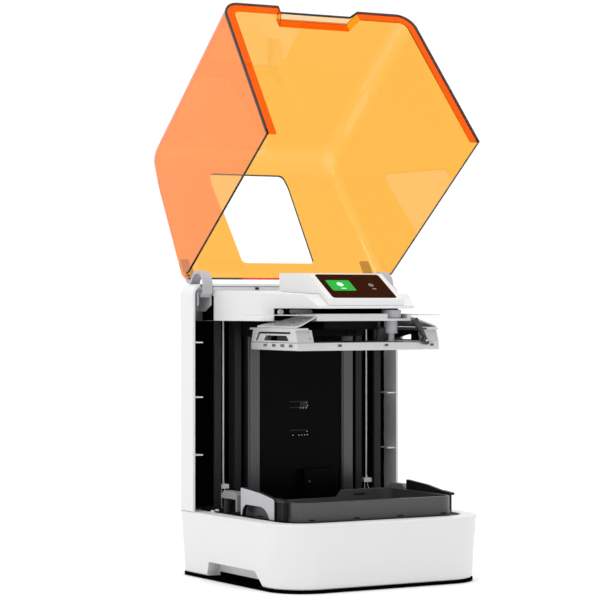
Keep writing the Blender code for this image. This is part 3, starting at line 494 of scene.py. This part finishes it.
# CAD parts that keep their shape: (nodes, material, rounding of their edges in mm).
NODE_LOOKS = (
    (("base_shell",), WHITE, 0.5),
    (("tower_shell",), WHITE, 0.6),
    (("head_shell", "console"), WHITE, 0.0),
    (("head_plate",), WHITE_TRIM, 0.3),
    (("bottom_pan", "base_deck", "column_frame"), BLACK, 0.4),
    (("foot_front_left", "foot_front_right", "foot_rear_left", "foot_rear_right"), RUBBER, 0.25),
    (("lcd_panel", "back_panel"), PIANO, 0.3),
    (("light_box",), DARK_METAL, 0.0),
    (("fresnel_lens",), LENS, 0.2),
    (("led_board", "main_board"), BOARD, 0.2),
    (("heat_sink", "power_supply"), SHEET_METAL, 0.2),
    (("power_inlet", "fan_housing", "fan_rotor", "z_motor"), BLACK, 0.3),
    (("power_switch",), PIANO, 0.5),
    (("rail_left", "rail_right"), RAIL, 0.3),
    (("light_bar_left", "light_bar_right"), WHITE_TRIM, 0.3),
    (("drip_box",), PIANO, 0.5),
    (("screw_coupler", "screw_bearing", "drive_nut"), STEEL, 0.3),
    (("hinge_bracket_left", "hinge_bracket_right"), GREY, 0.4),
    (("hinge_arm_left", "hinge_arm_right"), GREY, 0.5),
    (("vat_tub",), VAT, 0.4),
    (("vat_film",), FILM, 0.0),
    (("vat_wing_left", "vat_wing_right"), BLACK, 0.6),
    (("vat_latch_left", "vat_latch_right"), LATCH_GREY, 0.8),
    (("lead_screw",), THREADED, 0.3),
    (("carriage_left", "carriage_right", "lift_yoke", "z_arm"), BLACK_METAL, 0.5),
    (("cross_bar",), BRIDGE, 0.5),
    (("build_plate", "truss_left", "truss_right"), BLASTED, 0.4),
    (("drip_sheet_left", "drip_sheet_right"), SHEET_METAL, 0.2),
    (("clamp_lever",), LEVER, 0.6),
)


def dress_nodes():
    add_threads(THREADED, 2.0, 0.25)
    for names, material, bevel in NODE_LOOKS:
        for name in names:
            dress(NODES[name], material, bevel, 2, 35.0, weld=True)


# ---------------------------------------------------------------- hood

# The hood is laid out closed: u counts forwards from its back edge and w up from its bottom rim.
HOOD_BACK_Y, HOOD_BOTTOM = 231.5, 85.3
HOOD_LENGTH, HOOD_HEIGHT = 227.2, 293.0
HOOD_HALF_BACK, HOOD_HALF_FRONT = 158.0, 143.9
HOOD_FALL, HOOD_LEAN = math.tan(math.radians(3.0)), math.tan(math.radians(2.0))
HOOD_CORNER, HOOD_SIDE_EDGE, HOOD_FRONT_EDGE, HOOD_TOP_CORNER = 25.0, 12.0, 35.0, 12.0
HOOD_LIP, HOOD_WALL = 14.0, 3.0
HOOD_SIDE_STEPS = (0, 0.7, 1.6, 3, 5, 8, 11, 14, 40, 80, 120, 160)
NOTCH_HALF, NOTCH_SLOPE, NOTCH_DEPTH, NOTCH_FROM = 53.0, 7.0, 9.5, 200
FLANGE_WIDTH, FLANGE_DEPTH, FLANGE_LIFT = 14.0, 2.8, 21.0
# Thickness and inset of the painted shade bead along the hood's edge.
EDGE_SHADE_RADIUS, EDGE_SHADE_INSET = 1.2, 1.3
# Half width of the window and distance from the hood's back, going forwards.
WINDOW, WINDOW_CORNER = ((55.5, 33), (59.5, 166), (56.5, 185)), 7.0
BACK_CUT_HALF, BACK_CUT_DEPTH = 150.2, 6
# Points at the end of each half outline that the roof's frontmost face takes.
ROOF_END_POINTS = 5


def open_hood():
    """Turns the closed hood open about the hinge pins."""
    angle = -math.radians(HINGE["range_deg"][1])
    pivot = Vector((0.0, (HINGE["pos_m"][1] - BASE_FRONT) / MM, HINGE["pos_m"][2] / MM))
    return Matrix.Translation(pivot) @ Matrix.Rotation(angle, 4, "X") @ Matrix.Translation(-pivot)


def hood_top(u):
    drop = 0.0
    if u < HOOD_LIP:
        drop = HOOD_LIP - math.sqrt(HOOD_LIP ** 2 - (HOOD_LIP - u) ** 2)
    return HOOD_HEIGHT - HOOD_FALL * u - drop


def hood_half(u):
    return HOOD_HALF_BACK + (HOOD_HALF_FRONT - HOOD_HALF_BACK) * u / HOOD_LENGTH


def hood_path(inset_side, inset_front, radius):
    """Half of the hood's outline from above, back edge to front middle, as (x, u)."""
    front = HOOD_LENGTH - inset_front
    corner = front - radius
    side = [(hood_half(u) - inset_side, u) for u in HOOD_SIDE_STEPS]
    middle = hood_half(corner) - inset_side - radius
    bend = arc(middle, corner, radius, 1.5, 90, 16)
    return side + bend + [(NOTCH_HALF + NOTCH_SLOPE, front), (NOTCH_HALF, front), (10.0, front)]


def notch_lift(x, u, height):
    """How far the finger notch raises the front edge."""
    if u <= NOTCH_FROM:
        return 0.0
    return height * min(1.0, max(0.0, (NOTCH_HALF + NOTCH_SLOPE - x) / NOTCH_SLOPE))


def hood_point(x, u, w):
    lean = HOOD_LEAN * w * min(1.0, u / (HOOD_LENGTH - HOOD_FRONT_EDGE))
    return (x, HOOD_BACK_Y - u + lean, HOOD_BOTTOM + w)


def hood_loop(row):
    """The whole outline from the (x, u, w) points of its half."""
    half = [hood_point(*point) for point in row]
    return [(-x, y, z) for x, y, z in half] + half[::-1]


def hood_piece(name, bm, material):
    """A clear piece that is laid out with the hood closed and turned open with it."""
    let_light_through(piece(name, bm, "lid", material, 0.5, 2, open_hood(), 40.0))


def hood_wall_rows(outer, steps):
    """Rows of points up the walls and round into the roof."""
    inner = hood_path(HOOD_SIDE_EDGE, HOOD_FRONT_EDGE, HOOD_TOP_CORNER)
    rows = []
    for i in range(steps + 1):
        angle = math.radians(90 * i / steps)
        share = 1 - math.cos(angle)
        row = []
        for (x0, u0), (x1, u1) in zip(outer, inner):
            edge = max(HOOD_SIDE_EDGE, u0 - u1)
            height = hood_top(u1) - edge * (1 - math.sin(angle))
            row.append((x0 + (x1 - x0) * share, u0 + (u1 - u0) * share, height))
        rows.append(row)
    return rows


def close_roof(bm, count):
    """Faces across the last row of points, which runs round the roof."""
    bm.verts.ensure_lookup_table()
    top = list(bm.verts)[-count:]
    last = count // 2 - ROOF_END_POINTS
    for i in range(last):
        bm.faces.new((top[i], top[i + 1], top[count - 2 - i], top[count - 1 - i]))
    bm.faces.new(top[last:count - last])
    bmesh.ops.recalc_face_normals(bm, faces=bm.faces)
    roof = sum(face.normal.z * face.calc_area() for face in bm.faces if face.calc_center_median().z > 300)
    if roof < 0:
        bmesh.ops.reverse_faces(bm, faces=bm.faces)


def make_hood():
    """The clear shell, built closed, cut and then turned open."""
    outer = hood_path(0.0, 0.0, HOOD_CORNER)
    rim = [(x, u, notch_lift(x, u, FLANGE_LIFT)) for x, u in outer]
    rows = [rim] + hood_wall_rows(outer, 12)
    bm = skin([hood_loop(row) for row in rows], closed=False, caps=False)
    close_roof(bm, 2 * len(outer))
    hood = piece("hood", bm, "lid", AMBER)
    hood.modifiers.clear()
    wall = hood.modifiers.new("wall", "SOLIDIFY")
    wall.thickness = HOOD_WALL * MM
    wall.offset = -1.0
    wall.use_even_offset = True
    window = [(half, HOOD_BACK_Y - u) for half, u in WINDOW]
    window = [(-x, y) for x, y in window] + window[::-1]
    cut(hood, slab(rounded_corners(window, WINDOW_CORNER), "Z", 340, 400))
    cut(hood, box((-BACK_CUT_HALF, HOOD_BACK_Y - BACK_CUT_DEPTH, 350), (BACK_CUT_HALF, 240, 379.5)))
    for vert in hood.data.vertices:
        vert.co = to_frame(open_hood() @ to_layout(vert.co))
    dress(hood, AMBER, 0.5, 2, 40.0)
    let_light_through(hood)
    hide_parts("lid_shell")


def make_hood_flange():
    """The flat rim inside the hood's edge, raised at the notch. Its orange is deeper than the hood's: partly
    the plastic it is seen through, partly painted light caught inside the flange.
    """
    flange = hood_path(FLANGE_WIDTH, FLANGE_WIDTH, HOOD_CORNER - FLANGE_WIDTH)
    lip = hood_path(0.15, 0.15, HOOD_CORNER)
    loops = []
    for path, rise in ((flange, 0.0), (lip, 0.0), (lip, FLANGE_DEPTH), (flange, FLANGE_DEPTH)):
        loops.append(hood_loop([(x, u, notch_lift(x, u, FLANGE_LIFT) + rise) for x, u in path]))
    bm = skin(loops + [loops[0]], closed=False, caps=False)
    bmesh.ops.remove_doubles(bm, verts=bm.verts, dist=1e-4)
    bmesh.ops.holes_fill(bm, edges=bm.edges, sides=6)
    face_out(bm)
    hood_piece("hood_rim", bm, RIM_AMBER)


def make_notch_lip():
    """The strip of the front wall that is left between the notch and the flange above it, in a paler tint
    that paints its highlight.
    """
    low, high = NOTCH_DEPTH, FLANGE_LIFT - 0.1
    foot = NOTCH_HALF + NOTCH_SLOPE
    shape = ((-foot, 0.3), (-NOTCH_HALF, low), (NOTCH_HALF, low), (foot, 0.3),
             (NOTCH_HALF + 0.2, high), (-NOTCH_HALF - 0.2, high))
    faces = (HOOD_LENGTH - 0.1, HOOD_LENGTH - HOOD_WALL + 0.1)
    hood_piece("hood_notch_lip", skin([[hood_point(x, u, w) for x, w in shape] for u in faces]), PAINTED_HIGHLIGHT_AMBER)


def make_hood_edge_shade():
    """A dark bead along the hood's edge: painted shade for the dark line that refraction makes at the
    rounded edge.
    """
    edge = hood_path(EDGE_SHADE_INSET, EDGE_SHADE_INSET, HOOD_CORNER)
    line = hood_loop([(x, u, EDGE_SHADE_RADIUS + notch_lift(x, u, NOTCH_DEPTH)) for x, u in edge])
    line = [open_hood() @ Vector(point) for point in line]
    wire("hood_edge_shade", line, EDGE_SHADE_RADIUS, "lid", EDGE, 1)


# ---------------------------------------------------------------- display

# Lower front and upper back end of the console's slope, as (y, z).
SLOPE_LOW, SLOPE_HIGH = (60.8, 360.3), (112.5, 393.2)
SCREEN_WIDTH, SCREEN_HEIGHT = 95.4, 55.8


def on_slope():
    """From the display's own plane (x right, y up the slope) to the printer's millimetres."""
    run, rise = SLOPE_HIGH[0] - SLOPE_LOW[0], SLOPE_HIGH[1] - SLOPE_LOW[1]
    middle = Vector((0, SLOPE_LOW[0] + run / 2, SLOPE_LOW[1] + rise / 2))
    return Matrix.Translation(middle) @ Matrix.Rotation(math.atan2(rise, run), 4, "X")


def make_screen():
    """The glass, a green tile with a disc and a bar on it, and a small dial with a bar under it."""
    turn = on_slope()
    glass = slab(round_rect(SCREEN_WIDTH / 2, SCREEN_HEIGHT / 2, 4.0), "Z", -1.4, 0.0)
    glass = piece("screen_glass", glass, "chassis", SCREEN, 0.35, 3, turn)
    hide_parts("touch_screen")
    tile = slab(round_rect(17.5, 12.3, 2.2, centre=(-21.5, 1.5)), "Z", 0.02, 0.08)
    piece("screen_tile", tile, "chassis", TILE, turn=turn)
    disc = slab(circle(-21.5, 4.0, 4.6), "Z", 0.1, 0.14)
    bar = slab(round_rect(3.6, 0.9, 0.8, centre=(-20.5, -5.6)), "Z", 0.1, 0.14)
    piece("screen_tile_glyph", merge(disc, bar), "chassis", GLYPH, turn=turn)
    dial = ring_wall(circle(24.0, 2.6, 3.4), circle(24.0, 2.6, 1.7), 0.02, 0.07)
    label = slab(round_rect(3.0, 0.9, 0.8, centre=(24.6, -6.4)), "Z", 0.02, 0.07)
    piece("screen_dial_glyph", merge(dial, label), "chassis", FAINT, turn=turn)


# ---------------------------------------------------------------- base and head

DECK_Z = 84.9
INLET_PINS, INLET_SCREWS_X, INLET_SCREWS_Z = ((-105, 39), (-93, 39), (-99, 33.5)), (-115, -55), 37
RIM_PEGS = ((-126, 225), (126, 225), (-138, 215), (138, 215))
# Bottom and top of the painted shadow bands under the base and in the hand holds.
BASE_SHADOW_LOW, BASE_SHADOW_HIGH = 0.9, 4.3


def make_base_details():
    low, high = node_box("power_inlet")
    pins = [box((x - 1.0, low.y + 2.2, z - 2.2), (x + 1.0, high.y - 0.4, z + 2.2)) for x, z in INLET_PINS]
    piece("inlet_pins", merge(*pins), "chassis", BRASS, 0.2)
    places = [(x, high.y, INLET_SCREWS_Z) for x in INLET_SCREWS_X]
    piece("inlet_screws", screw_heads(places, (0, 1, 0), 2.4, 1.1), "chassis", STEEL)
    under = node_box("bottom_pan")[0].z
    places = [(x, y, under) for x in (-96, 0, 96) for y in (30, 248)]
    piece("pan_screws", screw_heads(places, (0, 0, -1), 3.2, 0.7), "chassis", STEEL)
    pegs = [cylinder((x, y, DECK_Z), (x, y, DECK_Z + 2.6), 3.0, 28, 2.2) for x, y in RIM_PEGS]
    piece("rim_pegs", merge(*pegs), "chassis", WHITE_TRIM, 0.5)


def base_outline(inset):
    """The base from above, moved in by inset."""
    left = arc(-97.1, 56.7, 56.7 - inset, 270, 180, 14) + arc(-132.7, 261.2, 24.8 - inset, 180, 90, 8)
    return left + [(-x, y) for x, y in left[::-1]]


def make_base_shadow():
    """Near-black bands that paint the shadow in the gap under the base and in the hand holds."""
    shadow_ring = ring_wall(base_outline(5.2), base_outline(11.7), BASE_SHADOW_LOW, BASE_SHADOW_HIGH)
    piece("base_painted_shadow", shadow_ring, "chassis", PAINTED_SHADE, 0.3)
    for side, name in SIDES:
        floor = side_box(side, (130.4, 145.4), (63.4, 210.6), (BASE_SHADOW_LOW, BASE_SHADOW_HIGH))
        skirt = side_box(side, (133.6, 134.6), (79.0, 200.6), (4.2, 9.8))
        piece("grip_painted_shadow_" + name, merge(floor, skirt), "chassis", PAINTED_SHADE, 0.3)


def make_head_details():
    """Painted shade round the head: near-black sheets in front of its step, under it and beside it; also its
    light lugs and the slot in its step.
    """
    step_shade = slab([(-93.2, 332.6), (93.2, 332.6), (93.2, 347.9), (-93.2, 347.9)], "Y", 132.2, 132.8)
    piece("head_step_shade", step_shade, "chassis", PAINTED_SHADE, 0.1)
    plate = slab([(-93.0, 134.0), (-123.4, 229.0), (123.4, 229.0), (93.0, 134.0)], "Z", 331.75, 331.95)
    piece("head_under_shade", plate, "chassis", PAINTED_SHADE, 0.05)
    boss = cylinder((-85.4, 132.1, 343.6), (-85.4, 127.6, 343.6), 4.2, 32, 3.4)
    bracket = slab(round_rect(16.5, 2.7, 2.5, 6, (-55.5, 344.2)), "Y", 129.4, 132.1)
    piece("head_step_lugs", merge(boss, bracket), "chassis", WHITE_TRIM, 0.6)
    outline = [(233.0, 332.3), (263.0, 332.3), (263.0, 368.0), (233.0, 364.0)]
    for side, name in SIDES:
        shade_sheet = side_slab(side, outline, (126.7, 127.2))
        piece("head_side_shade_" + name, shade_sheet, "chassis", PAINTED_SHADE, 0.1)
    slot = box((-64.5, 233.2, 372.6), (-59.0, 233.9, 375.6))
    piece("head_step_slot", slot, "chassis", BLACK, 0.3)


# ---------------------------------------------------------------- tower

# Slots in the back panel as (left, right, bottom, top), and studs as (x, z).
PANEL_SLOTS = ((-17, -1, 223.6, 225.2), (-17, -1, 216.0, 217.6), (-16, 10, 185.8, 187.4),
               (-1, 11.5, 216, 225.2))
PANEL_STUDS = (((8.7, 222.8), (10.4, 218.8)) + tuple((8.3 - 4.2 * i, 216.0) for i in range(3))
               + tuple((10.4 - 4.3 * i, 180.2) for i in range(4)) + ((-11.8, 180.2), (9.7, 184.7)))
LIGHT_X, LIGHT_Y = 110.0, 238


def make_column_details():
    back = node_box("column_frame")[1].y
    # A near-black sheet across the back of the tower, painted shade.
    shade_sheet = slab(round_rect(153.2, 121.0, 3.0, centre=(0.0, 209.8)), "Y", back - 2.4, back - 2.08)
    piece("column_back_shade", shade_sheet, "chassis", PAINTED_SHADE)
    face = node_box("back_panel")[0].y
    slots = [box((x0, face - 0.15, z0), (x1, face + 0.5, z1)) for x0, x1, z0, z1 in PANEL_SLOTS]
    piece("panel_slots", merge(*slots), "chassis", BLACK, 0.3)
    studs = [cylinder((x, face - 0.5, z), (x, face + 0.3, z), 0.75, 16) for x, z in PANEL_STUDS]
    piece("panel_studs", merge(*studs), "chassis", STEEL, 0.2)


def make_light_leads():
    """Two leads and a ferrule under each light bar."""
    for side, name in SIDES:
        x = side * LIGHT_X
        for number, (drift, reach) in enumerate(((-2.5, -2.0), (2.5, 6.0))):
            start = x + drift
            points = [(start, LIGHT_Y, 113.2), (start, LIGHT_Y, 108), (start + reach * 0.6, LIGHT_Y - 2, 99),
                      (start + reach, LIGHT_Y - 5, 84)]
            wire(f"light_lead_{name}_{number + 1}", points, 0.55, "chassis", WHITE_TRIM)
        ferrule = cylinder((x, LIGHT_Y, 118.8), (x, LIGHT_Y, 121.5), 2.6, 28, 2.0)
        piece("light_ferrule_" + name, ferrule, "chassis", STEEL, 0.3)


def make_drip_box_screws():
    low, high = node_box("drip_box")
    places = [(low.x + 7, low.y, high.z - 16), (high.x - 6, low.y, high.z - 38)]
    piece("drip_box_screws", screw_heads(places, (0, -1, 0), 1.7, 0.8), "chassis", DARK_METAL)


# ---------------------------------------------------------------- vat

VAT_SLOTS_X = (-96.5, -31.6, 32.8, 98.0)
WING_FOOT = 85.2
# A wing from the side, as (y, z), with the opening for the hand cut in from below.
WING_PROFILE = ((72.2, WING_FOOT), (72.2, 110.4), (76, 111.7), (110, 116.9), (157.6, 120.4),
                (157.6, WING_FOOT), (154.7, WING_FOOT), (152.2, 94.2), (145.2, 99.8), (105.8, 99.8),
                (95.6, 97.3), (88.0, 91.7), (84.2, WING_FOOT))
WING_RAIL = ((49.5, 108.0), (49.5, 111.2), (71.8, 112.9), (71.8, 107.6))


def make_vat_details():
    """A band round the foot of the tub, and the slots in the band and in the tub's back wall."""
    low, high = node_box("vat_tub")
    middle = (0.0, (low.y + high.y) / 2)
    half_x, half_y = (high.x - low.x) / 2, (high.y - low.y) / 2
    outer = round_rect(half_x + 0.9, half_y + 0.9, 20.9, 12, middle)
    inner = round_rect(half_x + 0.1, half_y + 0.1, 20.1, 12, middle)
    piece("vat_band", ring_wall(outer, inner, DECK_Z, 89.8), "chassis", VAT, 0.35)
    slots = [box((x - 4.4, low.y - 1.15, 86.3), (x + 4.4, low.y + 0.2, 88.3)) for x in VAT_SLOTS_X]
    for side, _ in SIDES:
        slots.append(side_box(side, (half_x + 1.15, half_x - 0.2), (116.5, 131), (85.4, 87.2)))
    slots.append(slab(round_rect(8.7, 1.5, 1.4, 4, (68.2, 102.0)), "Y", high.y - 4.3, high.y - 3.8))
    piece("vat_band_slots", merge(*slots), "chassis", BLACK, 0.2)


def make_wing_details():
    """A grey skin on the outside of each wing, and the ribs and rail in front of it."""
    for side, name in SIDES:
        low, high = node_box("vat_wing_" + name)
        outside = high.x if side > 0 else -low.x
        cover = side_slab(side, rounded_corners(WING_PROFILE, 2.5, 4), (outside + 0.05, outside + 0.9))
        piece("vat_wing_skin_" + name, cover, "chassis", GREY, 0.4)
        ribs = []
        for i in range(5):
            y = 54.5 + 3.3 * i
            ribs.append(side_box(side, (118.6, 125.5), (y, y + 1.8), (WING_FOOT, 107.4 + 0.4 * i)))
        rail = side_slab(side, WING_RAIL, (119.4, 126.4))
        piece("vat_ribs_" + name, merge(rail, *ribs), "chassis", BLACK, 0.3)


# ---------------------------------------------------------------- platform

KNOB_FLUTES, KNOB_HEIGHT, KNOB_SHOULDER = 30, 10.7, 316.2
# Outer lower and inner upper edge of the bridge's sloping ends, as (x, z).
BRIDGE_LOW, BRIDGE_HIGH = (104, 326.0), (70, 338.9)
BRIDGE_SCREWS = ((97, 80), (97, 128), (82, 76), (82, 118))
# Outline of the painted shade strip behind each side frame's openings, as (y, z).
TRUSS_SHADE_OUTLINE = ((70, 307.0), (112, 307.0), (112, 314.8), (163, 306.8), (163, 319.6), (70, 319.6))


def make_knob():
    """The fluted screw knob with its stem and foot."""
    low, high = node_box("clamp_knob")
    x, y = (low.x + high.x) / 2, (low.y + high.y) / 2
    radius = (high.x - low.x) / 2
    shelf = high.z - KNOB_HEIGHT
    count = KNOB_FLUTES * 4
    rings = []
    for z, share in ((shelf + 0.1, 0.94), (shelf + 1.0, 1.0), (high.z - 0.9, 1.0), (high.z - 0.1, 0.95)):
        ring = []
        for i in range(count):
            angle = math.tau * i / count
            reach = radius * share * (1 - 0.035 * (i % 4 == 0))
            ring.append((x + reach * math.cos(angle), y + reach * math.sin(angle), z))
        rings.append(ring)
    stem = cylinder((x, y, KNOB_SHOULDER), (x, y, shelf + 0.3), 7.8, 40)
    foot = cylinder((x, y, low.z + 0.1), (x, y, KNOB_SHOULDER + 0.2), 3.9, 32)
    knob = piece("clamp_knob_fluted", merge(skin(rings), stem, foot), "knob", GREY, 0.3)
    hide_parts("clamp_knob")


def make_platform_screws():
    slope = (BRIDGE_HIGH[1] - BRIDGE_LOW[1]) / (BRIDGE_LOW[0] - BRIDGE_HIGH[0])
    for side, name in SIDES:
        places = [(side * x, y, BRIDGE_LOW[1] + (BRIDGE_LOW[0] - x) * slope) for x, y in BRIDGE_SCREWS]
        heads = screw_heads(places, (side * slope, 0, 1), 2.2, 1.2)
        piece("bridge_screws_" + name, heads, "platform", STEEL)
        places = [(side * 86, 54.6 + (z - 305.8) * 0.385, z) for z in (310.5, 318.5)]
        heads = screw_heads(places, (0, -1, 0.36), 1.8, 0.9)
        piece("truss_screws_" + name, heads, "platform", STEEL)
    plate = node_box("z_arm")[0].y + 107
    places = [(x, plate, z) for x in (-72, -60, 60, 72) for z in (315.5, 326.5)]
    piece("arm_screws", screw_heads(places, (0, -1, 0), 2.6, 2.0), "platform", BLACK_METAL)


def make_truss_shade():
    """A black strip behind the openings of each side frame: painted shade seen through them."""
    for side, name in SIDES:
        strip = side_slab(side, TRUSS_SHADE_OUTLINE, (100.2, 100.9))
        piece("truss_painted_shade_" + name, strip, "platform", BLACK, 0.1)


# ---------------------------------------------------------------- floor, light, camera

def make_stage():
    bpy.ops.mesh.primitive_plane_add(size=400.0, location=(0.0, 0.0, 0.0))
    floor = bpy.context.object
    floor.name = "floor"
    floor.data.materials.append(surface("floor_paint", (0.95, 0.95, 0.95), (0.94, 0.94, 0.94), 0.7, 0.03,
                                        patch=400.0, bump=0.0))
    make_sky(Vector((0.5, 0.87, 0.0)), 0.42, 1.06)
    softbox("key", (-1.9, -1.3, 1.6), (0.0, 0.0, 0.35), 1.2, 11.0)
    softbox("fill", (0.2, -2.6, 1.0), (0.0, 0.0, 0.2), 1.4, 2.5)
    overhead = bpy.data.lights.new("overhead", "SUN")
    overhead.energy = 1.15
    overhead.angle = math.radians(50.0)
    lamp = add_to_scene(bpy.data.objects.new("overhead", overhead))
    lamp.rotation_euler = (math.radians(4.0), math.radians(-6.0), 0.0)


def make_sky(behind, low, high):
    """A studio backdrop: bright behind the object, dimmer on the camera's side."""
    world = bpy.data.worlds.new("studio")
    bpy.context.scene.world = world
    world.use_nodes = True
    tree = world.node_tree
    background = tree.nodes["Background"]
    background.inputs["Color"].default_value = (1.0, 1.0, 1.0, 1.0)
    place = tree.nodes.new("ShaderNodeTexCoord")
    along = tree.nodes.new("ShaderNodeVectorMath")
    along.operation = "DOT_PRODUCT"
    along.inputs[1].default_value = behind
    tree.links.new(place.outputs["Generated"], along.inputs[0])
    strength = remap(tree, along.outputs["Value"], -0.7, 0.3, low, high, "SMOOTHSTEP")
    tree.links.new(strength, background.inputs["Strength"])


def softbox(name, place, target, size, power):
    light = bpy.data.lights.new(name, "AREA")
    light.energy = power
    light.size = size
    lamp = add_to_scene(bpy.data.objects.new(name, light))
    lamp.location = place
    lamp.rotation_euler = (Vector(target) - Vector(place)).to_track_quat("-Z", "Y").to_euler()


def make_camera():
    data = bpy.data.cameras.new("camera")
    data.lens = 139.35
    data.sensor_width = 36.0
    data.clip_end = 50.0
    camera = add_to_scene(bpy.data.objects.new("camera", data))
    camera.location = to_frame((-1556.5, -2429.9, 359.0))
    camera.rotation_euler = (math.radians(90.0), 0.0, math.radians(-30.36))
    bpy.context.scene.camera = camera


make_camera()
make_stage()
dress_nodes()
make_hood()
make_hood_flange()
make_notch_lip()
make_hood_edge_shade()
make_screen()
make_base_details()
make_base_shadow()
make_head_details()
make_column_details()
make_light_leads()
make_drip_box_screws()
make_vat_details()
make_wing_details()
make_knob()
make_platform_screws()
make_truss_shade()
bpy.context.scene.view_settings.view_transform = "Standard"
